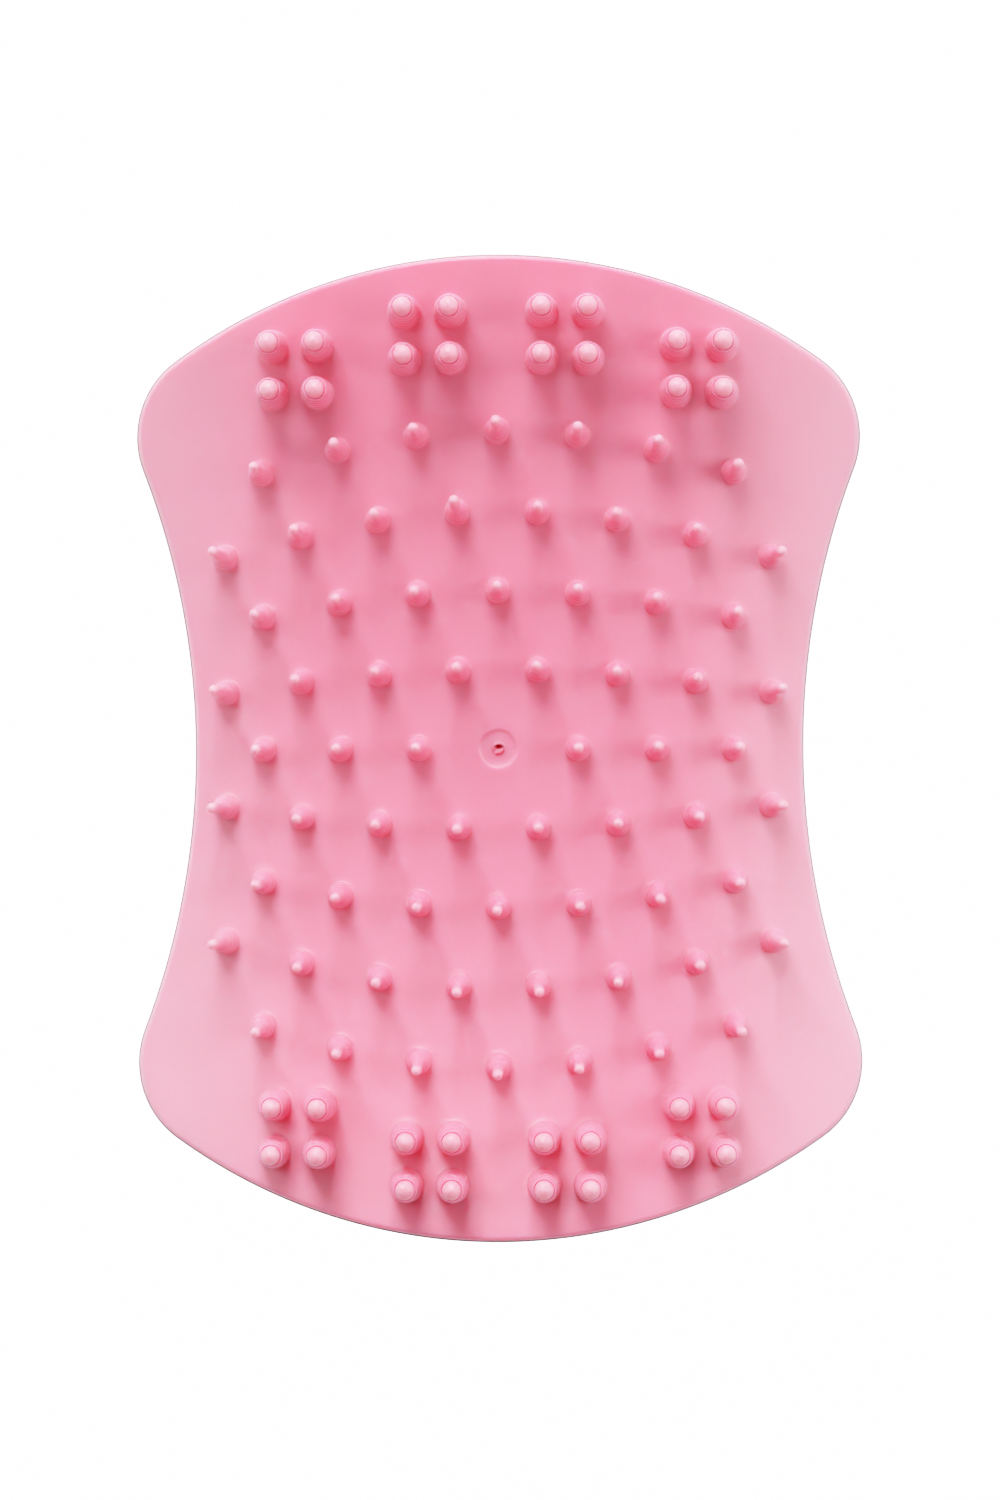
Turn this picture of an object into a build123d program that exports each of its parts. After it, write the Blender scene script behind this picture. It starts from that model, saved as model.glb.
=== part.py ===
from build123d import *
import os
from math import atan2, degrees, hypot, sqrt

# Palm-held scalp massager brush, in millimetres.
# +Z points out of the toothed face, +Y runs along the brush and +X runs across it.
# The origin is the middle of the flat land on the back, where the brush rests with its teeth up.

# Outline of the brush: an hourglass of tangent arcs, the same in all four quarters.
HALF_LENGTH = 48.6
HALF_WAIST = 30.7
END_RADIUS = 58.8
CORNER_RADIUS = 9.0
SIDE_RADIUS = 78.9

# Toothed face: a saddle. Its ends curl up towards the teeth and its sides fall away.
FACE_HEIGHT = 26.0
END_RISE = 7.5
SIDE_FALL = 5.5
END_CURVE = END_RISE / HALF_LENGTH**2
SIDE_CURVE = SIDE_FALL / HALF_WAIST**2

# Back of the grip: a hull that curls up to its ends and sides, cut flat where it rests.
HULL_END_RISE = 23.5
HULL_SIDE_RISE = 4.6
HULL_SINK = 1.0
HULL_CURL_SHARE = 0.6
HULL_ROUND = 5.5
HULL_INNER_ROUND = 3.5
LAND_ROUND = 12.0

# Sheet thicknesses and clearances.
PAD_THICKNESS = 2.0
PAD_RIM_ROUND = 0.5
PLATE_THICKNESS = 2.0
SHELL_WALL = 2.2
SHELL_SETBACK = 0.35
SEAT_GAP = 0.05
SIDE_GAP = 0.15

# Fine teeth: rows that bow outwards, alternating between seven and eight teeth.
ROW_PITCH = 7.86
COLUMN_PITCH = 7.97
ROW_BOW = 0.007
ROW_BOW_POWER = 0.65
OUTER_ROW = 4
OUTER_COLUMN = 3.5
FINE_HEIGHT = 8.9
FINE_ROOT_RADIUS = 1.25
FINE_BODY_RADIUS = 1.21
FINE_BODY_HEIGHT = 2.9
FINE_NECK_RADIUS = 0.52
FINE_SHOULDER_HEIGHT = 2.9
FINE_NECK_HEIGHT = 4.4
FINE_TIP_RADIUS = 0.5

# Massage teeth: two by two clusters near both ends.
CLUSTER_PITCH = 4.56
CLUSTERS = ((6.78, 40.75), (20.05, 37.6))
MASSAGE_HEIGHT = 8.0
MASSAGE_ROOT_RADIUS = 1.65
MASSAGE_BODY_HEIGHT = 3.6
MASSAGE_NECK_RADIUS = 1.12
MASSAGE_NECK_HEIGHT = 6.8
MASSAGE_TIP_RADIUS = 1.0

# The outer fine teeth lean outwards.
SIDE_LEAN = 6.2
SIDE_LEAN_POWER = 7.0
END_LEAN = 2.5

# Roots reach into the sheet, and the lathe seam is turned off every line of symmetry.
TOOTH_SINK = 1.2
SEAM_TURN = 20.0

# Injection gate in the middle of the face: a shallow round recess with a broken-off stub.
GATE_RADIUS = 1.9
GATE_DEPTH = 0.25
GATE_STUB_RADIUS = 0.6
GATE_STUB_HEIGHT = 0.2
GATE_STUB_TAPER = 15.0

# Headed pegs on the back of the pad, pulled through holes in the carrier plate.
PEG_COLUMNS = (8.0, 22.0)
PEG_ROWS = (12.0, 34.0)
PEG_RADIUS = 1.5
PEG_HEAD_RADIUS = 2.1
PEG_HEAD_HEIGHT = 2.2
PEG_POINT_RADIUS = 0.9
PEG_HOLE_RADIUS = 1.6

# Sealing lip of the pad, held between the shell's wall and the plate's skirt.
LIP_THICKNESS = 1.2
LIP_DEPTH = 2.4

# Snap joint between the plate's skirt and the shell's catches: two at the ends, four at the sides.
SKIRT_THICKNESS = 1.5
SKIRT_DEPTH = 3.4
CATCH_WIDTH = 8.0
CATCH_HEIGHT = 1.4
CATCH_GRIP = 1.0
CATCH_BEVEL = 0.8
CATCH_SPREAD = 15.0
CATCH_GAP = 0.2

# Ribs inside the grip shell that carry the plate.
RIB_THICKNESS = 1.6
RIB_SIDE = 15.0
RIB_ENDS = 23.0

# Blocks used to cut with reach well past the brush.
REACH = 60.0
DEPTH = 80.0

# A point this close to a surface counts as on it.
CLOSE = 0.01


def face_z(x, y):
    """Height of the toothed face."""
    return FACE_HEIGHT + END_CURVE * y**2 - SIDE_CURVE * x**2


def on_face(point):
    """Whether a point lies on the toothed face."""
    return abs(point.Z - face_z(point.X, point.Y)) < CLOSE


def even_patch(height, end_curve, side_curve, end_curl=0.0):
    """Bezier patch of height + end_curve*y^2 + end_curl*y^4 + side_curve*x^2, on a wide square."""
    # Control values of a square and a fourth power along a Bezier curve from -1 to 1.
    steps = (-1.0, -0.5, 0.0, 0.5, 1.0)
    square_4 = (1.0, 0.0, -1 / 3, 0.0, 1.0)
    fourth_4 = (1.0, -1.0, 1.0, -1.0, 1.0)
    square_2 = (1.0, -1.0, 1.0)
    rows = []
    for x, across in zip((-REACH, 0.0, REACH), square_2):
        row = []
        for step, square, fourth in zip(steps, square_4, fourth_4):
            along = end_curve * REACH**2 * square + end_curl * REACH**4 * fourth
            row.append((x, step * REACH, height + along + side_curve * REACH**2 * across))
        rows.append(row)
    return Face.make_bezier_surface(rows)


def saddle(drop):
    """The toothed face's surface, moved down."""
    return even_patch(FACE_HEIGHT - drop, END_CURVE, -SIDE_CURVE)


def below(surface):
    """Everything under a surface."""
    return Solid.extrude(surface, Vector(0, 0, -DEPTH))


def above(surface):
    """Everything over a surface."""
    return Solid.extrude(surface, Vector(0, 0, DEPTH))


def outline(inset):
    """The hourglass outline, moved inwards."""
    end_radius = END_RADIUS - inset
    corner_radius = CORNER_RADIUS - inset
    side_radius = SIDE_RADIUS + inset
    end_y = HALF_LENGTH - END_RADIUS
    side_x = HALF_WAIST + SIDE_RADIUS
    # The corner's centre lies at known distances from the centres of the end and side arcs.
    to_end = END_RADIUS - CORNER_RADIUS
    to_side = SIDE_RADIUS + CORNER_RADIUS
    between = hypot(side_x, end_y)
    along = (to_end**2 - to_side**2 + between**2) / (2 * between)
    across = sqrt(to_end**2 - along**2)
    corner_x = (side_x * along + end_y * across) / between
    corner_y = end_y + (side_x * across - end_y * along) / between
    end_angle = degrees(atan2(corner_x, corner_y - end_y))
    side_angle = degrees(atan2(corner_y, side_x - corner_x))
    arcs = []
    for turn in (0, 180):
        arcs.append(Rot(0, 0, turn) * CenterArc((0, end_y), end_radius, 90 - end_angle, 2 * end_angle))
        arcs.append(Rot(0, 0, turn) * CenterArc((side_x, 0), side_radius, 180 - side_angle, 2 * side_angle))
        for flip in (1, -1):
            start = -side_angle if flip == 1 else end_angle - 90
            sweep = 90 - end_angle + side_angle
            arc = CenterArc((corner_x, flip * corner_y), corner_radius, start, sweep)
            arcs.append(Rot(0, 0, turn) * arc)
    return make_face(Curve() + arcs)


def column(inset):
    """A tall block with the brush's outline."""
    return extrude(Pos(0, 0, -REACH / 2) * outline(inset), REACH * 2)


def rim_ring(outer_inset, thickness, top, depth):
    """A ring that follows the outline and the saddle."""
    ring = column(outer_inset) - column(outer_inset + thickness)
    return ring & below(saddle(top)) & above(saddle(top + depth))


def fine_tooth():
    """Lathe-shaped fine tooth: a stout tapered body that necks in to a slim round-tipped pin."""
    shoulder = Bezier(
        (FINE_ROOT_RADIUS, 0, 0),
        (FINE_BODY_RADIUS, 0, FINE_BODY_HEIGHT),
        (FINE_NECK_RADIUS, 0, FINE_SHOULDER_HEIGHT),
        (FINE_NECK_RADIUS, 0, FINE_NECK_HEIGHT),
    )
    return lathe_tooth(FINE_ROOT_RADIUS, shoulder, FINE_TIP_RADIUS, FINE_HEIGHT)


def massage_tooth():
    """Lathe-shaped massage tooth: a stout taper under a round dome."""
    taper = Bezier(
        (MASSAGE_ROOT_RADIUS, 0, 0),
        (MASSAGE_ROOT_RADIUS, 0, MASSAGE_BODY_HEIGHT),
        (MASSAGE_NECK_RADIUS, 0, MASSAGE_NECK_HEIGHT),
    )
    return lathe_tooth(MASSAGE_ROOT_RADIUS, taper, MASSAGE_TIP_RADIUS, MASSAGE_HEIGHT)


def lathe_tooth(root_radius, shoulder, tip_radius, height):
    """A tooth from its shoulder curve, with a buried root and a round tip."""
    root = Polyline((0, 0, -TOOTH_SINK), (root_radius, 0, -TOOTH_SINK), shoulder @ 0)
    shaft = Line(shoulder @ 1, (tip_radius, 0, height - tip_radius))
    middle = sqrt(0.5) * tip_radius
    tip = ThreePointArc(shaft @ 1, (middle, 0, height - tip_radius + middle), (0, 0, height))
    axis = Line((0, 0, height), (0, 0, -TOOTH_SINK))
    return Rot(0, 0, SEAM_TURN) * revolve(make_face(Curve() + [root, shoulder, shaft, tip, axis]), Axis.Z)


def fine_places():
    """Root positions of the fine teeth."""
    places = []
    for row in range(-OUTER_ROW, OUTER_ROW + 1):
        whole = row % 2 == 0
        bow = ROW_BOW * (abs(row) / OUTER_ROW) ** ROW_BOW_POWER
        side = (row > 0) - (row < 0)
        for step in range(-3, 4) if whole else range(-4, 4):
            if row == 0 and step == 0:
                continue
            # Evenly spaced along the curved face, so a little closer together towards the sides.
            along_face = COLUMN_PITCH * (step if whole else step + 0.5)
            x = along_face - (2 * SIDE_CURVE) ** 2 * along_face**3 / 6
            places.append((x, side * (abs(row) * ROW_PITCH - bow * x**2)))
    return places


def massage_places():
    """Root positions of the massage teeth."""
    places = []
    half = CLUSTER_PITCH / 2
    for cluster_x, cluster_y in CLUSTERS:
        for side_x in (-1, 1):
            for side_y in (-1, 1):
                for step_x in (-half, half):
                    for step_y in (-half, half):
                        places.append((side_x * cluster_x + step_x, side_y * cluster_y + step_y))
    return places


def place_massage_teeth():
    """Every massage tooth in its place, parallel to the mould's opening direction."""
    tooth = massage_tooth()
    return [Pos(x, y, face_z(x, y)) * tooth for x, y in massage_places()]


def tooth_lean(x, y):
    """Outward lean of a fine tooth across and along the brush, in degrees."""
    widest = OUTER_COLUMN * COLUMN_PITCH
    longest = OUTER_ROW * ROW_PITCH
    across = SIDE_LEAN * abs(x / widest) ** SIDE_LEAN_POWER
    along = END_LEAN * abs(y) / longest
    return (across if x > 0 else -across), (along if y > 0 else -along)


def place_fine_teeth():
    """Every fine tooth in its place."""
    tooth = fine_tooth()
    teeth = []
    for x, y in fine_places():
        across, along = tooth_lean(x, y)
        teeth.append(Pos(x, y, face_z(x, y)) * Rot(-along, across, 0) * tooth)
    return teeth


def peg_places():
    """Positions of the pad's pegs."""
    places = []
    for x in PEG_COLUMNS:
        for y in PEG_ROWS:
            places += [(x, y), (-x, y), (-x, -y), (x, -y)]
    return places


def peg(x, y):
    """Headed peg on the pad's back, long enough to pass the plate."""
    top = face_z(x, y) - PAD_THICKNESS / 2
    # The plate's underside is not level, so the head starts below its lowest point round the peg.
    slope = hypot(2 * END_CURVE * y, 2 * SIDE_CURVE * x)
    plate_back = face_z(x, y) - PAD_THICKNESS - SEAT_GAP - PLATE_THICKNESS
    head_top = plate_back - slope * PEG_HEAD_RADIUS - SEAT_GAP
    shank = Pos(x, y, head_top) * extrude(Circle(PEG_RADIUS), top - head_top)
    point = Pos(x, y, head_top - PEG_HEAD_HEIGHT) * Circle(PEG_POINT_RADIUS)
    head = loft([Pos(x, y, head_top) * Circle(PEG_HEAD_RADIUS), point])
    return shank + head


def make_pad():
    """Flexible toothed pad, one moulding."""
    sheet = column(0) & below(saddle(0)) & above(saddle(PAD_THICKNESS))
    rim = [edge for edge in sheet.edges() if on_face(edge @ 0.5)]
    sheet = fillet(rim, PAD_RIM_ROUND)
    gate_floor = FACE_HEIGHT - GATE_DEPTH
    sheet -= Pos(0, 0, gate_floor) * extrude(Circle(GATE_RADIUS), FACE_HEIGHT)
    stub = extrude(Circle(GATE_STUB_RADIUS), GATE_STUB_HEIGHT, taper=GATE_STUB_TAPER)
    sheet += Pos(0, 0, gate_floor) * stub
    lip_top = PAD_THICKNESS / 2
    lip_inset = SHELL_SETBACK + SHELL_WALL + SIDE_GAP
    lip = rim_ring(lip_inset, LIP_THICKNESS, lip_top, LIP_DEPTH + lip_top)
    pegs = [peg(x, y) for x, y in peg_places()]
    return sheet + lip + pegs + place_fine_teeth() + place_massage_teeth()


def catch_places():
    """Middle of each snap catch: a point on the shell's inner wall and its outward turn."""
    inset = SHELL_SETBACK + SHELL_WALL
    side_x = HALF_WAIST + SIDE_RADIUS
    places = []
    for side in (-1, 1):
        places.append((0, side * (HALF_LENGTH - inset), side * 90))
        for y in (-CATCH_SPREAD, CATCH_SPREAD):
            x = side_x - sqrt((SIDE_RADIUS + inset) ** 2 - y**2)
            turn = degrees(atan2(-y, side_x - x))
            places.append((side * x, y, turn if side == 1 else 180 - turn))
    return places


def snap_middle(x, y):
    """Height of the middle of a catch or window."""
    plate_back = face_z(x, y) - PAD_THICKNESS - SEAT_GAP - PLATE_THICKNESS
    return plate_back - SKIRT_DEPTH / 2


def snap_window(x, y, turn):
    """Block that cuts one window through the plate's skirt."""
    skirt_face = LIP_THICKNESS + 2 * SIDE_GAP
    middle = skirt_face + SKIRT_THICKNESS / 2
    block = Box(2 * SKIRT_THICKNESS, CATCH_WIDTH + 2 * CATCH_GAP, CATCH_HEIGHT + 2 * CATCH_GAP)
    return Pos(x, y, snap_middle(x, y)) * Rot(0, 0, turn) * Pos(-middle, 0, 0) * block


def snap_catch(x, y, turn):
    """Catch on the shell's inner wall, bevelled on top so that the skirt rides over it."""
    tip = -(LIP_THICKNESS + 2 * SIDE_GAP + CATCH_GRIP)
    half = CATCH_HEIGHT / 2
    root = SHELL_WALL / 2
    corners = ((root, -half), (tip, -half), (tip, half - CATCH_BEVEL), (tip + CATCH_BEVEL, half), (root, half))
    profile = Plane.XZ * make_face(Polyline(*corners, close=True))
    block = extrude(profile, CATCH_WIDTH / 2, both=True)
    return Pos(x, y, snap_middle(x, y)) * Rot(0, 0, turn) * block


def make_plate():
    """Stiff carrier plate with peg holes and a snap skirt."""
    top = PAD_THICKNESS + SEAT_GAP
    inset = SHELL_SETBACK + SHELL_WALL + LIP_THICKNESS + 2 * SIDE_GAP
    plate = column(inset) & below(saddle(top)) & above(saddle(top + PLATE_THICKNESS))
    plate += rim_ring(inset, SKIRT_THICKNESS, top + PLATE_THICKNESS / 2, PLATE_THICKNESS / 2 + SKIRT_DEPTH)
    holes = [Pos(x, y, 0) * extrude(Circle(PEG_HOLE_RADIUS), DEPTH) for x, y in peg_places()]
    windows = [snap_window(x, y, turn) for x, y, turn in catch_places()]
    return plate - holes - windows


def hull(inset, lift):
    """The grip's outer form, moved inwards and up, open above."""
    end_curve = (1 - HULL_CURL_SHARE) * HULL_END_RISE / HALF_LENGTH**2
    end_curl = HULL_CURL_SHARE * HULL_END_RISE / HALF_LENGTH**4
    side_curve = HULL_SIDE_RISE / HALF_WAIST**2
    back = even_patch(lift - HULL_SINK, end_curve, side_curve, end_curl)
    form = column(SHELL_SETBACK + inset) & above(back)
    form -= Pos(0, 0, lift - REACH) * Box(2 * REACH, 2 * REACH, 2 * REACH)
    return form


def hull_edges(form, floor):
    """The edge between wall and back, and the edge round the flat land."""
    low = [edge for edge in form.edges() if (edge @ 0.5).Z < face_z(0, HALF_LENGTH) - PAD_THICKNESS]
    land = [edge for edge in low if (edge @ 0.5).Z < floor + CLOSE]
    wall = [edge for edge in low if (edge @ 0.5).Z > floor + CLOSE and (edge @ 0).Z < FACE_HEIGHT]
    return wall, land


def make_ribs():
    """Crossed ribs that stand on the shell's floor and carry the plate."""
    lines = []
    for side in (-1, 1):
        lines.append(Pos(side * RIB_SIDE, 0, 0) * Box(RIB_THICKNESS, 2 * REACH, DEPTH))
    for y in (-RIB_ENDS, 0, RIB_ENDS):
        lines.append(Pos(0, y, 0) * Box(2 * REACH, RIB_THICKNESS, DEPTH))
    inset = SHELL_SETBACK + SHELL_WALL + LIP_THICKNESS + 3 * SIDE_GAP + SKIRT_THICKNESS
    top = PAD_THICKNESS + PLATE_THICKNESS + 2 * SEAT_GAP
    # The ribs reach a little way into the floor, so that they join it.
    room = column(inset) & hull(SHELL_WALL, SHELL_WALL / 2) & below(saddle(top))
    return (lines[0] + lines[1:]) & room


def make_shell():
    """Hollow grip shell with ribs and snap catches."""
    outer = hull(0, 0)
    outer = fillet(hull_edges(outer, 0)[0], HULL_ROUND)
    outer = fillet(hull_edges(outer, 0)[1], LAND_ROUND)
    inner = hull(SHELL_WALL, SHELL_WALL)
    inner = fillet(hull_edges(inner, SHELL_WALL)[0], HULL_INNER_ROUND)
    shell = (outer - inner) & below(saddle(PAD_THICKNESS + SEAT_GAP))
    catches = [snap_catch(x, y, turn) for x, y, turn in catch_places()]
    return shell + make_ribs() + catches


def main():
    """Build every piece and write one STEP file for each."""
    pieces = {
        "tooth_pad": make_pad(),
        "carrier_plate": make_plate(),
        "grip_shell": make_shell(),
    }
    os.makedirs("parts", exist_ok=True)
    for name, piece in pieces.items():
        export_step(piece, "parts/" + name + ".step")


main()
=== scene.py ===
import math

import bpy
import numpy as np
from mathutils import Matrix, Vector
from mathutils.geometry import delaunay_2d_cdt


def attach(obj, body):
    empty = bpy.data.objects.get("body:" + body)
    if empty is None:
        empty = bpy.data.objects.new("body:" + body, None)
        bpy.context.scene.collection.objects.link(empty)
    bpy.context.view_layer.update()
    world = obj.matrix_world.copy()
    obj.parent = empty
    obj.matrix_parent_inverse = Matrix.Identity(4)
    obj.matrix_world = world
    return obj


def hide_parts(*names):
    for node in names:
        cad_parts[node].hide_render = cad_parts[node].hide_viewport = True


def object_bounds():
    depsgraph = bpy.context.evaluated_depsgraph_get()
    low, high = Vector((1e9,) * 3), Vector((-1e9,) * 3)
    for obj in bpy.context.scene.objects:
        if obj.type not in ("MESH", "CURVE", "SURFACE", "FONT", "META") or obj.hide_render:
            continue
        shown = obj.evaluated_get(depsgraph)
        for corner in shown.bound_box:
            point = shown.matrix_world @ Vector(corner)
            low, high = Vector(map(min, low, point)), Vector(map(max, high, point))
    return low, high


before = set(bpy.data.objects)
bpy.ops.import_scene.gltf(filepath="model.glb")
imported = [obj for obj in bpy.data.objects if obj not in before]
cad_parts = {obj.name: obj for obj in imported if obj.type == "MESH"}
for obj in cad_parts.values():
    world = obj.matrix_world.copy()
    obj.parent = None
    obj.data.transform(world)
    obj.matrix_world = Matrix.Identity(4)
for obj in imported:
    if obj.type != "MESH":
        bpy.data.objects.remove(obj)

CAD_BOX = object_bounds()

# Lengths are in millimetres until a mesh is made, and angles are in degrees.
MM = 0.001
SEED = 7

# The CAD model's driving dimensions.
HALF_LENGTH = 48.6
HALF_WAIST = 30.7
END_RADIUS = 58.8
CORNER_RADIUS = 9.0
SIDE_RADIUS = 78.9
FACE_HEIGHT = 26.0
END_CURVE = 7.5 / HALF_LENGTH**2
SIDE_CURVE = 5.5 / HALF_WAIST**2
PAD_THICKNESS = 2.0
RIM_ROUND = 0.5
BACK_ROUND = 0.2
FLASH = 0.16
FLASH_HEIGHT = 0.2
ROW_PITCH = 7.86
COLUMN_PITCH = 7.97
ROW_BOW = 0.007
ROW_BOW_POWER = 0.65
OUTER_ROW = 4
OUTER_COLUMN = 3.5
CLUSTER_PITCH = 4.56
CLUSTERS = ((6.78, 40.75), (20.05, 37.6))
SIDE_LEAN = 6.2
SIDE_LEAN_POWER = 7.0
END_LEAN = 2.5
LIP_INSET = 2.7
LIP_THICKNESS = 1.2
LIP_DEPTH = 2.4
PEG_COLUMNS = (8.0, 22.0)
PEG_ROWS = (12.0, 34.0)
PEG_RADIUS = 1.5
PEG_HEAD_RADIUS = 2.1
PEG_POINT_RADIUS = 0.95
PEG_NECK = 2.4
PEG_LENGTH = 4.7

# Marks that the material reads: from 0 at a tooth's root to 1 at its tip, and these two.
# The torn gate stub, painted a darker red as painted shade of its tear.
TORN_MARK = -1.0
# The rim's flash line, painted dark grey-mauve as painted shade of the edge.
FLASH_SHADE_MARK = -2.0

# Mesh density.
RIM_POINTS = 360
SKIN_SPACING = 1.15
TOOTH_SIDES = 24


def face_z(x, y):
    """Height of the toothed face."""
    return FACE_HEIGHT + END_CURVE * y**2 - SIDE_CURVE * x**2


def back_z(x, y):
    """Height of the pad's hidden back."""
    return face_z(x, y) - PAD_THICKNESS


def outline(count):
    """Evenly spaced points of the hourglass outline, counter-clockwise, and their outward normals."""
    end_y = HALF_LENGTH - END_RADIUS
    side_x = HALF_WAIST + SIDE_RADIUS
    to_end = END_RADIUS - CORNER_RADIUS
    to_side = SIDE_RADIUS + CORNER_RADIUS
    between = math.hypot(side_x, end_y)
    along = (to_end**2 - to_side**2 + between**2) / (2 * between)
    across = math.sqrt(to_end**2 - along**2)
    corner_x = (side_x * along + end_y * across) / between
    corner_y = end_y + (side_x * across - end_y * along) / between
    end = math.atan2(corner_x, corner_y - end_y)
    side = math.atan2(corner_y, side_x - corner_x)
    quarter = math.pi / 2
    # Each arc: centre, radius, first and last angle, and 1 where the outline bulges or -1 where it is hollow.
    arcs = []
    for turn in (1, -1):
        start = 0 if turn == 1 else math.pi
        arcs.append((turn * side_x, 0, SIDE_RADIUS, start + math.pi + side, start + math.pi - side, -1))
        arcs.append((turn * corner_x, turn * corner_y, CORNER_RADIUS, start - side, start + quarter - end, 1))
        arcs.append((0, turn * end_y, END_RADIUS, start + quarter - end, start + quarter + end, 1))
        far_side = start + math.pi + side
        arcs.append((-turn * corner_x, turn * corner_y, CORNER_RADIUS, start + quarter + end, far_side, 1))
    lengths = np.array([radius * abs(last - first) for _, _, radius, first, last, _ in arcs])
    ends = np.cumsum(lengths)
    # The first arc's middle is the start, so that the points are the same in all four quarters.
    places = (np.arange(count) / count * ends[-1] + lengths[0] / 2) % ends[-1]
    points = np.zeros((count, 2))
    normals = np.zeros((count, 2))
    for i, place in enumerate(places):
        k = min(int(np.searchsorted(ends, place, side="right")), len(arcs) - 1)
        x, y, radius, first, last, bulge = arcs[k]
        angle = first + (last - first) * (place - ends[k] + lengths[k]) / lengths[k]
        direction = np.array([math.cos(angle), math.sin(angle)])
        points[i] = np.array([x, y]) + radius * direction
        normals[i] = bulge * direction
    return points, normals


def smooth(t):
    """Smooth step from 0 to 1."""
    t = np.clip(t, 0, 1)
    return t * t * (3 - 2 * t)


class Shape:
    """Points and faces of one mesh while it is put together."""

    def __init__(self):
        self.points = []
        self.faces = []
        self.count = 0
        self.marks = {}

    def add(self, points, mark=0.0):
        """Adds points and returns their numbers. mark is a value that the material can read."""
        points = np.asarray(points, float)
        numbers = np.arange(self.count, self.count + len(points))
        self.points.append(points)
        self.marks[self.count] = (len(points), mark)
        self.count += len(points)
        return numbers

    def bridge(self, low, high):
        """Quads between two closed loops of the same length, facing outwards when high is on top of low."""
        for i in range(len(low)):
            j = (i + 1) % len(low)
            self.faces.append((low[i], low[j], high[j], high[i]))

    def fan(self, loop, tip):
        """Triangles from a closed loop to one point."""
        for i in range(len(loop)):
            self.faces.append((loop[i], loop[(i + 1) % len(loop)], tip))

    def build(self, name):
        """The finished object."""
        points = np.concatenate(self.points) * MM
        mesh = bpy.data.meshes.new(name)
        mesh.from_pydata(points.tolist(), [], [tuple(int(i) for i in face) for face in self.faces])
        mesh.shade_smooth()
        piece = bpy.data.objects.new(name, mesh)
        bpy.context.scene.collection.objects.link(piece)
        marks = np.zeros(len(points), np.float32)
        for start, (length, mark) in self.marks.items():
            marks[start:start + length] = mark
        attribute = mesh.attributes.new("height", "FLOAT", "POINT")
        attribute.data.foreach_set("value", marks)
        return piece


def ring(x, y, radius, count):
    """Points of a circle."""
    angles = np.arange(count) * 2 * math.pi / count
    return np.stack([x + radius * np.cos(angles), y + radius * np.sin(angles)], axis=1)


def inside(points, inset):
    """Which plan positions lie inside the outline moved inwards."""
    edge, normals = outline(RIM_POINTS)
    result = np.zeros(len(points), bool)
    for start in range(0, len(points), 1000):
        block = points[start:start + 1000]
        offsets = block[:, None, :] - edge[None, :, :]
        nearest = np.argmin((offsets**2).sum(axis=2), axis=1)
        rows = np.arange(len(block))
        depth = -(offsets[rows, nearest] * normals[nearest]).sum(axis=1)
        result[start:start + 1000] = depth > inset
    return result


def skin(shape, edge_numbers, edge_points, edge_inset, holes, surface, facing):
    """Fills the sheet between an edge loop and the holes' rings with a fine net of triangles.

    Each hole is (x, y, radius, numbers of its ring's points, their plan positions)."""
    plan = [tuple(p) for p in edge_points]
    numbers = list(edge_numbers)
    lines = [(i, (i + 1) % len(plan)) for i in range(len(plan))]
    # The hole whose ring a point belongs to, or None.
    owners = [None] * len(plan)
    collars = []
    for k, (x, y, radius, ring_numbers, ring_points) in enumerate(holes):
        start = len(plan)
        sides = len(ring_points)
        plan += [tuple(p) for p in ring_points]
        owners += [k] * sides
        numbers += list(ring_numbers)
        lines += [(start + i, start + (i + 1) % sides) for i in range(sides)]
        collars.append(ring(x, y, radius + 0.45 * SKIN_SPACING, sides // 2))
    centres = np.array([hole[:2] for hole in holes])
    radii = np.array([hole[2] for hole in holes])
    row_height = SKIN_SPACING * math.sqrt(0.75)
    rows = int(HALF_LENGTH / row_height) + 1
    columns = int(HALF_LENGTH / SKIN_SPACING) + 1
    j, i = np.mgrid[-rows:rows + 1, -columns:columns + 1]
    net = np.stack([(i + 0.5 * (j % 2)) * SKIN_SPACING, j * row_height], axis=-1).reshape(-1, 2)
    gaps = np.hypot(*(net[:, None, :] - centres[None, :, :]).transpose(2, 0, 1)) - radii
    net = net[gaps.min(axis=1) > 1.1 * SKIN_SPACING]
    free = np.concatenate([net] + collars)
    free = free[inside(free, edge_inset + 0.6 * SKIN_SPACING)]
    plan += [tuple(p) for p in free]
    owners += [None] * len(free)
    numbers += list(shape.add(np.column_stack([free, surface(free[:, 0], free[:, 1])])))
    result = delaunay_2d_cdt([Vector(p) for p in plan], lines, [], 1, 1e-7)
    triangles, origins = result[2], result[3]
    for triangle in triangles:
        corners = [origins[k][0] for k in triangle]
        # A triangle with all its corners on one hole's ring lies inside that hole.
        if owners[corners[0]] is not None and len({owners[c] for c in corners}) == 1:
            continue
        face = [numbers[c] for c in corners]
        shape.faces.append(tuple(face) if facing > 0 else tuple(reversed(face)))


def fillet_profile(root, fillet, count):
    """Radius and height of a hollow fillet, from the sheet up to the root of what stands on it."""
    turns = np.linspace(0, math.pi / 2, count)
    return [(root + fillet * (1 - math.sin(turn)), fillet * (1 - math.cos(turn))) for turn in turns]


def dome_profile(radius, top, count, ripple=0.0):
    """Radius and height of a half-round tip with faint turned rings, without its last point."""
    points = []
    for k in range(count):
        turn = k / count * math.pi / 2
        reach = radius + (ripple if k % 2 else -ripple)
        points.append((reach * math.cos(turn), top - radius + reach * math.sin(turn)))
    return points


def bezier_profile(corners, count):
    """Radius and height along a Bezier curve, without its first point."""
    corners = np.array(corners)
    degree = len(corners) - 1
    points = []
    for t in np.linspace(0, 1, count + 1)[1:]:
        weights = [math.comb(degree, k) * t**k * (1 - t) ** (degree - k) for k in range(degree + 1)]
        points.append(tuple(np.array(weights) @ corners))
    return points


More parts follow.
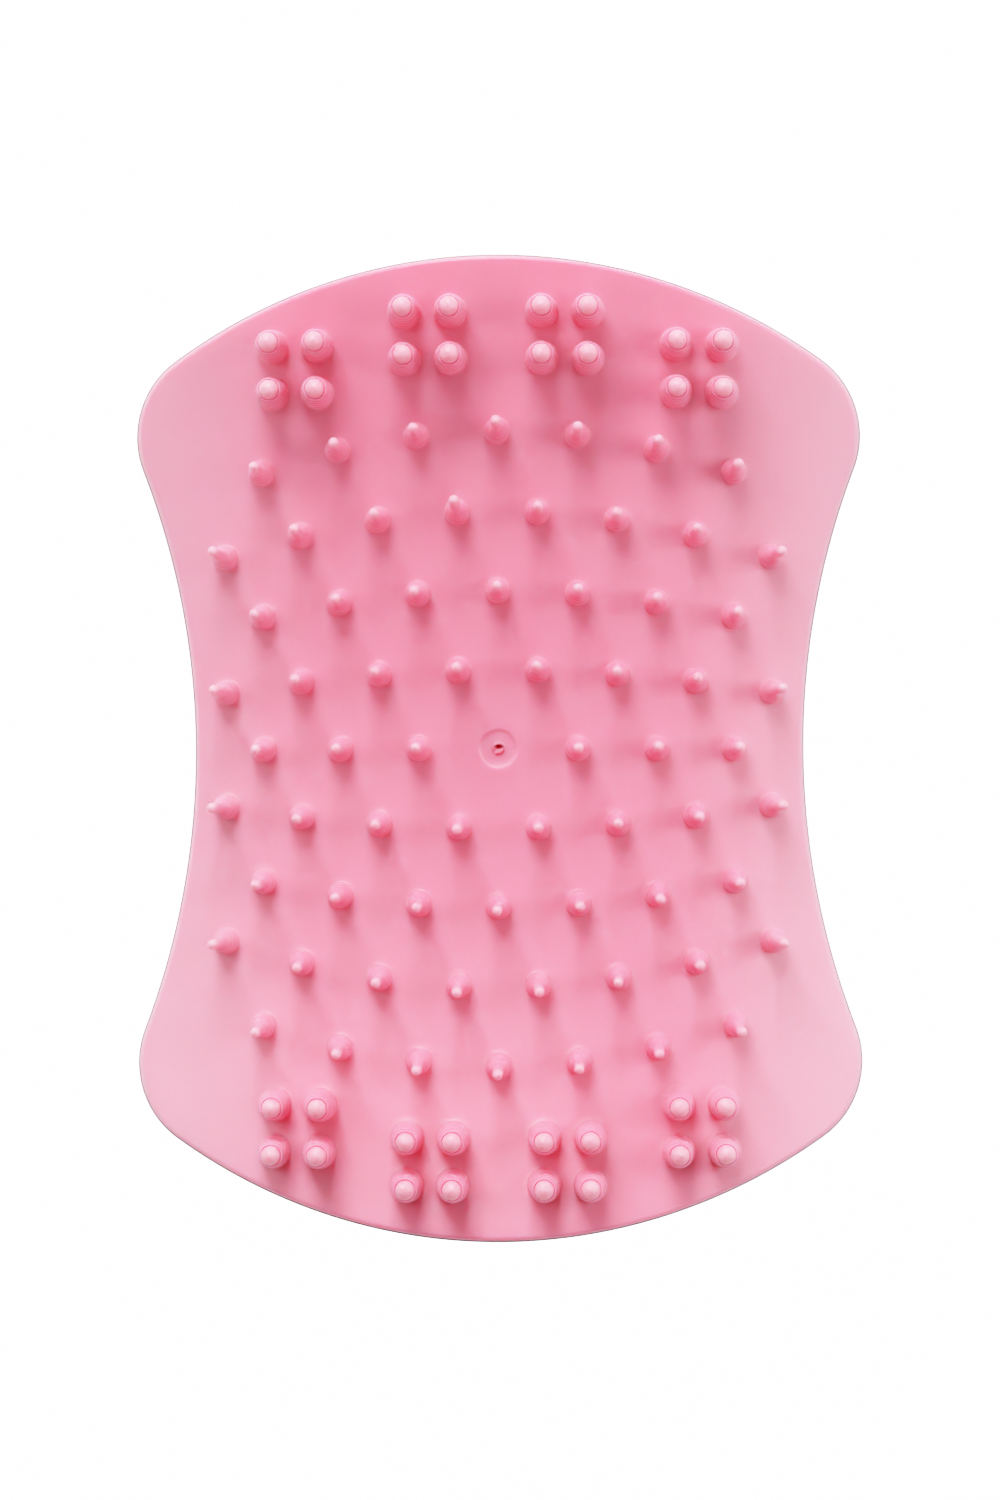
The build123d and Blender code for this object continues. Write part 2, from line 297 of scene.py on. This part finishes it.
FINE_HEIGHT = 8.9
FINE_ROOT = 1.25
FINE_BODY = 1.23
FINE_BODY_HEIGHT = 3.0
FINE_NECK = 0.5
FINE_SHOULDER_HEIGHT = 2.6
FINE_NECK_HEIGHT = 3.9
FINE_TIP = 0.5
FINE_FILLET = 0.22

MASSAGE_HEIGHT = 8.0
MASSAGE_ROOT = 1.6
MASSAGE_BODY_HEIGHT = 3.4
MASSAGE_NECK = 1.14
MASSAGE_NECK_HEIGHT = 6.6
MASSAGE_TIP = 0.94
# A moat round the foot of the dome: radius and height from the neck.
MOAT = ((-0.02, 0.06), (-0.05, 0.08), (-0.09, 0.05), (-0.12, -0.1), (-0.16, -0.12), (-0.19, -0.04))
MASSAGE_FILLET = 0.22

# Tooling rings: narrow ledges round a tooth, as (share of the height, width).
FINE_LEDGES = ((0.22, 0.09), (0.285, 0.09), (0.34, 0.09))
MASSAGE_LEDGES = ((0.3, 0.07), (0.46, 0.07), (0.62, 0.08), (0.74, 0.09))

# Grainy tips: the share of the height where the grain starts, and its size.
TIP_SHARE = 0.9
TIP_ROUGH = 0.016
DOME_RIPPLE = 0.014


def ledged(profile, top, ledges):
    """Adds the tooling rings to a profile of radius and height."""
    radii = [radius for radius, _ in profile]
    heights = [height for _, height in profile]
    steps = []
    for share, width in ledges:
        height = share * top
        radius = float(np.interp(height, heights, radii))
        steps += [(radius + width / 2, height - width), (radius + width / 2, height - width / 4)]
        steps += [(radius - width / 2, height), (radius - width / 2, height + width)]
    kept = []
    for radius, height in profile:
        near = min(abs(height - share * top) for share, _ in ledges)
        if near > 0.12:
            kept.append((radius, height))
    return sorted(kept + steps, key=lambda point: (point[1], -point[0]))


def fine_profile():
    """Fine tooth: a stout tapered body that necks in to a slim round-tipped pin."""
    body = [
        (FINE_ROOT, FINE_FILLET),
        (FINE_BODY, FINE_BODY_HEIGHT),
        (FINE_NECK, FINE_SHOULDER_HEIGHT),
        (FINE_NECK, FINE_NECK_HEIGHT),
    ]
    profile = fillet_profile(FINE_ROOT, FINE_FILLET, 4)
    profile += ledged(bezier_profile(body, 9), FINE_HEIGHT, FINE_LEDGES)
    profile += dome_profile(FINE_TIP, FINE_HEIGHT, 5)
    return profile, FINE_HEIGHT


def massage_profile():
    """Massage tooth: a stout taper with tooling rings, and a round dome in a narrow moat."""
    taper = [
        (MASSAGE_ROOT, MASSAGE_FILLET),
        (MASSAGE_ROOT, MASSAGE_BODY_HEIGHT),
        (MASSAGE_NECK, MASSAGE_NECK_HEIGHT),
    ]
    profile = fillet_profile(MASSAGE_ROOT, MASSAGE_FILLET, 4)
    profile += ledged(bezier_profile(taper, 8), MASSAGE_HEIGHT, MASSAGE_LEDGES)
    profile += [(MASSAGE_NECK + widening, MASSAGE_NECK_HEIGHT + rise) for widening, rise in MOAT]
    profile += dome_profile(MASSAGE_TIP, MASSAGE_HEIGHT, 10, DOME_RIPPLE)
    return profile, MASSAGE_HEIGHT


# One pin took a set: its place on the face and how far its tip has moved.
BENT_PIN = (-COLUMN_PITCH / 2, 3 * ROW_PITCH)
PIN_BEND = (-0.05, 0.5)


def lean_matrix(across, along):
    """Turns a tooth outwards, across the brush and then along it."""
    a = math.radians(across)
    b = math.radians(-along)
    turn_y = np.array([[math.cos(a), 0, math.sin(a)], [0, 1, 0], [-math.sin(a), 0, math.cos(a)]])
    turn_x = np.array([[1, 0, 0], [0, math.cos(b), -math.sin(b)], [0, math.sin(b), math.cos(b)]])
    return turn_x @ turn_y


def stand(shape, rng, x, y, profile, top, across, along, bend=(0, 0)):
    """Builds one tooth on the face and returns the hole that the skin leaves for it."""
    base = face_z(x, y)
    turn = lean_matrix(across, along)
    loops = []
    for radius, height in profile:
        plan = ring(0, 0, radius, TOOTH_SIDES)
        upright = np.column_stack([plan, np.full(TOOTH_SIDES, height)])
        leaning = upright @ turn.T
        rise = smooth((height - FINE_NECK_HEIGHT) / (top - FINE_NECK_HEIGHT)) if height > 0 else 0
        leaning[:, :2] += np.array(bend) * rise
        # Near the root the rings follow the sloping face.
        local = face_z(x + plan[:, 0], y + plan[:, 1]) - base
        resting = np.column_stack([plan, height + local])
        free = float(smooth(height / 2.0))
        points = free * leaning + (1 - free) * resting + np.array([x, y, base])
        if height > TIP_SHARE * top:
            points += rng.normal(0, TIP_ROUGH, points.shape)
        loops.append((shape.add(points, height / top), points))
    for (low, _), (high, _) in zip(loops, loops[1:]):
        shape.bridge(low, high)
    tip = np.array([0, 0, top]) @ turn.T + np.array([x + bend[0], y + bend[1], base])
    shape.fan(loops[-1][0], int(shape.add([tip], 1.0)[0]))
    return x, y, profile[0][0], loops[0][0], loops[0][1][:, :2]


def fine_places():
    """Root positions of the fine teeth."""
    places = []
    for row in range(-OUTER_ROW, OUTER_ROW + 1):
        whole = row % 2 == 0
        bow = ROW_BOW * (abs(row) / OUTER_ROW) ** ROW_BOW_POWER
        side = (row > 0) - (row < 0)
        for step in range(-3, 4) if whole else range(-4, 4):
            if row == 0 and step == 0:
                continue
            # Evenly spaced along the curved face, so a little closer together towards the sides.
            along_face = COLUMN_PITCH * (step if whole else step + 0.5)
            x = along_face - (2 * SIDE_CURVE) ** 2 * along_face**3 / 6
            places.append((x, side * (abs(row) * ROW_PITCH - bow * x**2)))
    return places


def massage_places():
    """Root positions of the massage teeth."""
    places = []
    half = CLUSTER_PITCH / 2
    for cluster_x, cluster_y in CLUSTERS:
        for side_x in (-1, 1):
            for side_y in (-1, 1):
                for step_x in (-half, half):
                    for step_y in (-half, half):
                        places.append((side_x * cluster_x + step_x, side_y * cluster_y + step_y))
    return places


def tooth_lean(x, y):
    """Outward lean of a fine tooth across and along the brush."""
    across = SIDE_LEAN * abs(x / (OUTER_COLUMN * COLUMN_PITCH)) ** SIDE_LEAN_POWER
    along = END_LEAN * abs(y) / (OUTER_ROW * ROW_PITCH)
    return math.copysign(across, x), math.copysign(along, y)


def edge_loop(shape, edge, normals, inset, drop, mark=0.0):
    """A loop of points at the outline moved inwards, a given drop under the toothed face."""
    plan = edge - inset * normals
    return shape.add(np.column_stack([plan, face_z(plan[:, 0], plan[:, 1]) - drop]), mark)


GATE_RADIUS = 1.9
GATE_DEPTH = 0.25
GATE_STUB = 0.6
GATE_TEAR = 0.34
GATE_TEAR_DEPTH = 1.0
GATE_TEAR_SHIFT = 0.22
GATE_ROUGH = 0.07


def gate_hole(shape, rng):
    """The injection gate: a shallow round recess with a torn-off stub in its middle."""
    floor = -GATE_DEPTH
    profile = [
        (GATE_RADIUS + 0.12, 0), (GATE_RADIUS + 0.05, -0.02), (GATE_RADIUS, -0.08),
        (GATE_RADIUS - 0.16, 0.8 * floor), (GATE_RADIUS - 0.26, floor),
        (0.5 * (GATE_RADIUS + GATE_STUB), 1.05 * floor),
        (GATE_STUB + 0.16, 1.1 * floor), (GATE_STUB + 0.05, floor), (GATE_STUB, 0.7 * floor),
        (GATE_STUB - 0.06, 0.3 * floor), (GATE_STUB - 0.16, 0.2 * floor), (GATE_TEAR, 0.6 * floor),
        (0.8 * GATE_TEAR, -0.5 * GATE_TEAR_DEPTH), (0.4 * GATE_TEAR, -0.9 * GATE_TEAR_DEPTH),
    ]
    count = 2 * TOOTH_SIDES
    loops = []
    for radius, height in profile:
        torn = radius < GATE_STUB + 0.02
        rough = GATE_ROUGH if torn else 0
        points = ring(0, 0, radius, count)
        jitter = rng.normal(0, 1, (count, 2))
        jitter = (jitter + np.roll(jitter, 1, axis=0) + np.roll(jitter, -1, axis=0)) / 3
        heights = face_z(points[:, 0], points[:, 1]) + height + rough * jitter[:, 0]
        points = points + rough * jitter
        if radius <= GATE_TEAR:
            # The tear lies off the middle and is wider than long.
            points = points * (1.35, 0.75) + (0, GATE_TEAR_SHIFT)
        loops.append((shape.add(np.column_stack([points, heights]), TORN_MARK if torn else 0.0), points))
    for (low, _), (high, _) in zip(loops, loops[1:]):
        shape.bridge(low, high)
    tip = int(shape.add([(0, GATE_TEAR_SHIFT, FACE_HEIGHT - GATE_TEAR_DEPTH)], TORN_MARK)[0])
    shape.fan(loops[-1][0], tip)
    return 0, 0, profile[0][0], loops[0][0], loops[0][1]


def peg_hole(shape, x, y):
    """One headed peg on the pad's back."""
    base = back_z(x, y)
    profile = [
        (PEG_RADIUS + 0.15, 0), (PEG_RADIUS + 0.05, -0.05), (PEG_RADIUS, -0.2), (PEG_RADIUS, -PEG_NECK),
        (PEG_HEAD_RADIUS - 0.05, -PEG_NECK), (PEG_HEAD_RADIUS, -PEG_NECK - 0.1),
        (PEG_HEAD_RADIUS - 0.02, -PEG_NECK - 0.2), (PEG_POINT_RADIUS, -PEG_LENGTH),
    ]
    slope = math.hypot(2 * END_CURVE * y, 2 * SIDE_CURVE * x) * PEG_HEAD_RADIUS
    loops = []
    for radius, height in profile:
        plan = ring(x, y, radius, TOOTH_SIDES)
        if height > -0.1:
            heights = back_z(plan[:, 0], plan[:, 1]) + height
        else:
            heights = np.full(TOOTH_SIDES, base + height - (slope if height < -1 else 0))
        loops.append((shape.add(np.column_stack([plan, heights])), plan))
    for (low, _), (high, _) in zip(loops, loops[1:]):
        shape.bridge(high, low)
    shape.faces.append(tuple(reversed(loops[-1][0])))
    return x, y, profile[0][0], loops[0][0], loops[0][1]


def make_pad():
    """The toothed pad as one closed mesh."""
    rng = np.random.default_rng(SEED)
    shape = Shape()
    holes = [gate_hole(shape, rng)]
    profile, top = fine_profile()
    for x, y in fine_places():
        across, along = tooth_lean(x, y)
        wobble = rng.normal(0, 0.5, 2)
        bend = PIN_BEND if math.dist((x, y), BENT_PIN) < COLUMN_PITCH / 2 else (0, 0)
        holes.append(stand(shape, rng, x, y, profile, top, across + wobble[0], along + wobble[1], bend))
    profile, top = massage_profile()
    for x, y in massage_places():
        holes.append(stand(shape, rng, x, y, profile, top, 0, 0))

    edge, normals = outline(RIM_POINTS)
    loops = []
    for turn in np.linspace(0, math.pi / 2, 7):
        inset = FLASH + RIM_ROUND * (1 - math.sin(turn))
        loops.append(edge_loop(shape, edge, normals, inset, RIM_ROUND * (1 - math.cos(turn))))
    # A line of flash runs round the rim, where the mould halves met; the material paints it dark grey-mauve
    # as painted shade, the dark line the edge shows.
    for inset, share in ((0.9 * FLASH, 0.05), (0.25 * FLASH, 0.1), (0, 0.35), (0, 1)):
        loops.append(edge_loop(shape, edge, normals, inset, RIM_ROUND + share * FLASH_HEIGHT, FLASH_SHADE_MARK))
    loops.append(edge_loop(shape, edge, normals, 0.1 * FLASH, RIM_ROUND + 1.1 * FLASH_HEIGHT))
    for turn in np.linspace(0, math.pi / 2, 4):
        inset = 0.1 * FLASH + BACK_ROUND * (1 - math.cos(turn))
        drop = PAD_THICKNESS - BACK_ROUND * (1 - math.sin(turn))
        loops.append(edge_loop(shape, edge, normals, inset, drop))
    lip_low = PAD_THICKNESS + LIP_DEPTH
    lip_inner = LIP_INSET + LIP_THICKNESS
    outer_wall = ((LIP_INSET, PAD_THICKNESS), (LIP_INSET, lip_low))
    inner_wall = ((lip_inner, lip_low), (lip_inner, PAD_THICKNESS))
    for inset, drop in outer_wall + inner_wall:
        loops.append(edge_loop(shape, edge, normals, inset, drop))
    for high, low in zip(loops, loops[1:]):
        shape.bridge(low, high)
    skin(shape, loops[0], edge - (RIM_ROUND + FLASH) * normals, RIM_ROUND + FLASH, holes, face_z, 1)

    signs = ((-1, -1), (-1, 1), (1, -1), (1, 1))
    pegs = [peg_hole(shape, a * x, b * y) for x in PEG_COLUMNS for y in PEG_ROWS for a, b in signs]
    skin(shape, loops[-1], edge - lip_inner * normals, lip_inner, pegs, back_z, -1)
    return shape.build("tooth_pad_skin")


def node_material(name):
    """An empty node material and its surface shader."""
    material = bpy.data.materials.new(name)
    material.use_nodes = True
    nodes = material.node_tree.nodes
    return material, nodes, material.node_tree.links, nodes["Principled BSDF"]


def ranged(nodes, links, value, from_min, from_max, to_min, to_max):
    """Maps a value from one range to another, clamped."""
    node = nodes.new("ShaderNodeMapRange")
    limits = {"From Min": from_min, "From Max": from_max, "To Min": to_min, "To Max": to_max}
    for name, limit in limits.items():
        node.inputs[name].default_value = limit
    links.new(value, node.inputs["Value"])
    return node.outputs["Result"]


def mixed(nodes, links, factor, colour, other):
    """Mixes a colour with a fixed one."""
    node = nodes.new("ShaderNodeMix")
    node.data_type = "RGBA"
    links.new(factor, node.inputs["Factor"])
    links.new(colour, node.inputs[6])
    node.inputs[7].default_value = other
    return node.outputs[2]


def elastomer():
    """Soft pink elastomer: translucent, satin, with faint mottling, painted light on the tips, flanks and
    rim, painted shade on the gate's tear and the rim's flash line, and a fine moulded grain.
    """
    material, nodes, links, surface = node_material("pink_elastomer")
    place = nodes.new("ShaderNodeNewGeometry")
    cloud = nodes.new("ShaderNodeTexNoise")
    cloud.inputs["Scale"].default_value = 55
    cloud.inputs["Detail"].default_value = 3
    links.new(place.outputs["Position"], cloud.inputs["Vector"])
    tint = nodes.new("ShaderNodeValToRGB")
    tint.color_ramp.elements[0].position = 0.3
    tint.color_ramp.elements[0].color = (0.9, 0.184, 0.3, 1)
    tint.color_ramp.elements[1].position = 0.7
    tint.color_ramp.elements[1].color = (0.91, 0.204, 0.32, 1)
    links.new(cloud.outputs["Fac"], tint.inputs["Fac"])
    # Painted light: paler towards the sides of the brush, as the flanges look in the studio light.
    split = nodes.new("ShaderNodeSeparateXYZ")
    links.new(place.outputs["Position"], split.inputs["Vector"])
    across = nodes.new("ShaderNodeMath")
    across.operation = "ABSOLUTE"
    links.new(split.outputs["X"], across.inputs[0])
    painted_flank_light = ranged(nodes, links, across.outputs["Value"], 0.018, 0.034, 0.0, 0.5)
    colour = mixed(nodes, links, painted_flank_light, tint.outputs["Color"], (0.81, 0.355, 0.46, 1))
    height = nodes.new("ShaderNodeAttribute")
    height.attribute_name = "height"
    # Painted light: paler where the sheet turns down at the rim, lifting the shade on the rim's rounding.
    facing = nodes.new("ShaderNodeSeparateXYZ")
    links.new(place.outputs["Normal"], facing.inputs["Vector"])
    turned = ranged(nodes, links, facing.outputs["Z"], 0.88, 0.4, 0.0, 0.6)
    sheet = ranged(nodes, links, height.outputs["Fac"], 0.0, 0.01, 1.0, 0.0)
    rim = nodes.new("ShaderNodeMath")
    rim.operation = "MULTIPLY"
    links.new(turned, rim.inputs[0])
    links.new(sheet, rim.inputs[1])
    colour = mixed(nodes, links, rim.outputs["Value"], colour, (0.85, 0.5, 0.57, 1))
    # Painted light: the tips are painted paler, for the glow and highlights they catch.
    tip = ranged(nodes, links, height.outputs["Fac"], 0.8, 0.93, 0.0, 0.36)
    colour = mixed(nodes, links, tip, colour, (1.0, 0.47, 0.52, 1))
    # Painted shade: the torn stub and its tear are painted a darker red, for the shade down the tear.
    torn = ranged(nodes, links, height.outputs["Fac"], 0.0, TORN_MARK, 0.0, 1.0)
    colour = mixed(nodes, links, torn, colour, (0.8, 0.1, 0.17, 1))
    # Painted shade: the flash line round the rim is painted dark grey-mauve, for the dark line the edge
    # shows.
    flash_shade = ranged(nodes, links, height.outputs["Fac"], TORN_MARK, FLASH_SHADE_MARK, 0.0, 1.0)
    colour = mixed(nodes, links, flash_shade, colour, (0.34, 0.2, 0.26, 1))
    links.new(colour, surface.inputs["Base Color"])
    depth = ranged(nodes, links, height.outputs["Fac"], FLASH_SHADE_MARK, TORN_MARK, 0.0, 0.85)
    links.new(depth, surface.inputs["Subsurface Weight"])
    grain = nodes.new("ShaderNodeTexNoise")
    grain.inputs["Scale"].default_value = 5200
    grain.inputs["Detail"].default_value = 2
    links.new(place.outputs["Position"], grain.inputs["Vector"])
    bump = nodes.new("ShaderNodeBump")
    bump.inputs["Strength"].default_value = 0.12
    bump.inputs["Distance"].default_value = 0.00004
    links.new(grain.outputs["Fac"], bump.inputs["Height"])
    links.new(bump.outputs["Normal"], surface.inputs["Normal"])
    surface.inputs["Roughness"].default_value = 0.42
    surface.inputs["Specular IOR Level"].default_value = 0.6
    surface.inputs["Subsurface Radius"].default_value = (1.0, 0.19, 0.28)
    surface.inputs["Subsurface Scale"].default_value = 0.003
    surface.inputs["IOR"].default_value = 1.46
    return material


def grip_plastic():
    """Glossy pink grip plastic with a faint orange-peel."""
    material, nodes, links, surface = node_material("pink_grip_plastic")
    place = nodes.new("ShaderNodeNewGeometry")
    cloud = nodes.new("ShaderNodeTexNoise")
    cloud.inputs["Scale"].default_value = 40
    links.new(place.outputs["Position"], cloud.inputs["Vector"])
    tint = nodes.new("ShaderNodeValToRGB")
    tint.color_ramp.elements[0].color = (0.87, 0.23, 0.345, 1)
    tint.color_ramp.elements[1].color = (0.90, 0.25, 0.37, 1)
    links.new(cloud.outputs["Fac"], tint.inputs["Fac"])
    links.new(tint.outputs["Color"], surface.inputs["Base Color"])
    peel = nodes.new("ShaderNodeTexNoise")
    peel.inputs["Scale"].default_value = 420
    links.new(place.outputs["Position"], peel.inputs["Vector"])
    bump = nodes.new("ShaderNodeBump")
    bump.inputs["Strength"].default_value = 0.08
    bump.inputs["Distance"].default_value = 0.0001
    links.new(peel.outputs["Fac"], bump.inputs["Height"])
    links.new(bump.outputs["Normal"], surface.inputs["Normal"])
    surface.inputs["Roughness"].default_value = 0.22
    surface.inputs["Subsurface Weight"].default_value = 0.15
    surface.inputs["Subsurface Radius"].default_value = (1.0, 0.35, 0.4)
    surface.inputs["Subsurface Scale"].default_value = 0.001
    return material


def plate_plastic():
    """Matt natural plastic of the hidden plate."""
    material, nodes, links, surface = node_material("plate_plastic")
    place = nodes.new("ShaderNodeNewGeometry")
    cloud = nodes.new("ShaderNodeTexNoise")
    cloud.inputs["Scale"].default_value = 120
    links.new(place.outputs["Position"], cloud.inputs["Vector"])
    tint = nodes.new("ShaderNodeValToRGB")
    tint.color_ramp.elements[0].color = (0.78, 0.72, 0.68, 1)
    tint.color_ramp.elements[1].color = (0.84, 0.79, 0.75, 1)
    links.new(cloud.outputs["Fac"], tint.inputs["Fac"])
    links.new(tint.outputs["Color"], surface.inputs["Base Color"])
    surface.inputs["Roughness"].default_value = 0.6
    return material


def soft_light(name, place, target, size, power):
    """A soft box that faces the target."""
    light = bpy.data.lights.new(name, "AREA")
    light.shape = "RECTANGLE"
    light.size, light.size_y = size
    light.energy = power
    lamp = bpy.data.objects.new(name, light)
    lamp.location = place
    direction = Vector(target) - Vector(place)
    lamp.rotation_euler = direction.to_track_quat("-Z", "Y").to_euler()
    bpy.context.scene.collection.objects.link(lamp)


# Studio, in metres and watts. Each light: name, place from the middle of the face, size and power.
LIGHTS = (
    ("key", (-0.12, 0.57, 0.49), (0.38, 0.26), 14.8),
    ("side", (0.36, 0.05, 0.21), (0.18, 0.45), 1.9),
    ("side_left", (-0.34, 0.14, 0.26), (0.2, 0.45), 0.95),
)
ROOM_LOW = 2.5
ROOM_HIGH = 0.2
ROOM_FOOT = -0.1
ROOM_TURN = 0.45
FLOOR_HALF = 1.5
FLOOR_Z = -0.0002
FLOOR_GLOW = 1.4
FLOOR_SEEN = 5.6
# How much of the floor is glow: for all other rays, and for rays from the camera.
FLOOR_GLOW_SHARE = (0.5, 0.95)
FILM_WHITE = 6.0
FILM_POINTS = 14

# Camera, in metres and degrees: distance from the face, height of the view there, and small offsets.
CAMERA_DISTANCE = 0.5
CAMERA_VIEW_HEIGHT = 0.1496
CAMERA_SENSOR = 0.036
CAMERA_AIM = (0.00016, -0.00015, 0)
CAMERA_SHIFT = (0.008, -0.003)
CAMERA_ROLL = 0.2


def film():
    """Standard colours with a photographic shoulder: bright channels close up on white, not clipped."""
    view = bpy.context.scene.view_settings
    view.view_transform = "Standard"
    view.use_curve_mapping = True
    mapping = view.curve_mapping
    mapping.white_level = (FILM_WHITE, FILM_WHITE, FILM_WHITE)
    points = mapping.curves[3].points
    for k in range(1, FILM_POINTS):
        share = (k / FILM_POINTS) ** 2
        points.new(share, 1 - math.exp(-share * FILM_WHITE))
    mapping.update()


def make_studio():
    """Pale floor, soft lights and the camera over the toothed face."""
    low, high = CAD_BOX
    centre = (low + high) / 2
    middle = Vector((centre.x, centre.y, FACE_HEIGHT * MM))
    mesh = bpy.data.meshes.new("studio_floor")
    corners = [(x * FLOOR_HALF, y * FLOOR_HALF, FLOOR_Z) for x, y in ((-1, -1), (1, -1), (1, 1), (-1, 1))]
    mesh.from_pydata(corners, [], [(0, 1, 2, 3)])
    floor = bpy.data.objects.new("studio_floor", mesh)
    bpy.context.scene.collection.objects.link(floor)
    material, nodes, links, surface = node_material("studio_floor")
    surface.inputs["Base Color"].default_value = (0.85, 0.85, 0.85, 1)
    surface.inputs["Roughness"].default_value = 0.9
    # A light table: it glows a little, seen directly it is an even pale field, and from below it is clear.
    path = nodes.new("ShaderNodeLightPath")
    glow = nodes.new("ShaderNodeEmission")
    strength = ranged(nodes, links, path.outputs["Is Camera Ray"], 0.0, 1.0, FLOOR_GLOW, FLOOR_SEEN)
    links.new(strength, glow.inputs["Strength"])
    share = ranged(nodes, links, path.outputs["Is Camera Ray"], 0.0, 1.0, *FLOOR_GLOW_SHARE)
    blend = nodes.new("ShaderNodeMixShader")
    links.new(share, blend.inputs["Fac"])
    links.new(surface.outputs["BSDF"], blend.inputs[1])
    links.new(glow.outputs["Emission"], blend.inputs[2])
    clear = nodes.new("ShaderNodeBsdfTransparent")
    side = nodes.new("ShaderNodeNewGeometry")
    through = nodes.new("ShaderNodeMixShader")
    links.new(side.outputs["Backfacing"], through.inputs["Fac"])
    links.new(blend.outputs["Shader"], through.inputs[1])
    links.new(clear.outputs["BSDF"], through.inputs[2])
    links.new(through.outputs["Shader"], nodes["Material Output"].inputs["Surface"])
    mesh.materials.append(material)

    for name, place, size, power in LIGHTS:
        soft_light(name, middle + Vector(place), middle, size, power)

    world = bpy.data.worlds.new("studio")
    world.use_nodes = True
    nodes = world.node_tree.nodes
    links = world.node_tree.links
    # The room's light falls off towards the floor. Seen directly it is an even pale field.
    sky = nodes.new("ShaderNodeTexCoord")
    split = nodes.new("ShaderNodeSeparateXYZ")
    links.new(sky.outputs["Generated"], split.inputs["Vector"])
    fall = ranged(nodes, links, split.outputs["Z"], ROOM_FOOT, ROOM_TURN, ROOM_LOW, ROOM_HIGH)
    path = nodes.new("ShaderNodeLightPath")
    seen = nodes.new("ShaderNodeMix")
    links.new(path.outputs["Is Camera Ray"], seen.inputs["Factor"])
    links.new(fall, seen.inputs[2])
    seen.inputs[3].default_value = FLOOR_SEEN
    links.new(seen.outputs[0], nodes["Background"].inputs["Strength"])
    nodes["Background"].inputs["Color"].default_value = (1, 1, 1, 1)
    bpy.context.scene.world = world
    film()

    make_camera(middle)


def make_camera(middle):
    """The camera, square over the middle of the toothed face but for small offsets."""
    camera = bpy.data.cameras.new("camera")
    camera.sensor_width = CAMERA_SENSOR / MM
    camera.lens = CAMERA_SENSOR / MM * CAMERA_DISTANCE / CAMERA_VIEW_HEIGHT
    camera.clip_start = 0.01
    view = bpy.data.objects.new("camera", camera)
    target = middle + Vector(CAMERA_AIM)
    view.location = target + Vector((*CAMERA_SHIFT, CAMERA_DISTANCE))
    back = (view.location - target).normalized()
    roll = math.radians(CAMERA_ROLL)
    right = Vector((math.sin(roll), math.cos(roll), 0)).cross(back).normalized()
    view.rotation_euler = Matrix((right, back.cross(right), back)).transposed().to_euler()
    bpy.context.scene.collection.objects.link(view)
    bpy.context.scene.camera = view


pad = make_pad()
pad.data.materials.append(elastomer())
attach(pad, "root")
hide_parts("tooth_pad")

for node, material in (("grip_shell", grip_plastic()), ("carrier_plate", plate_plastic())):
    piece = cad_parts[node]
    for slot in piece.material_slots:
        slot.material = material

make_studio()
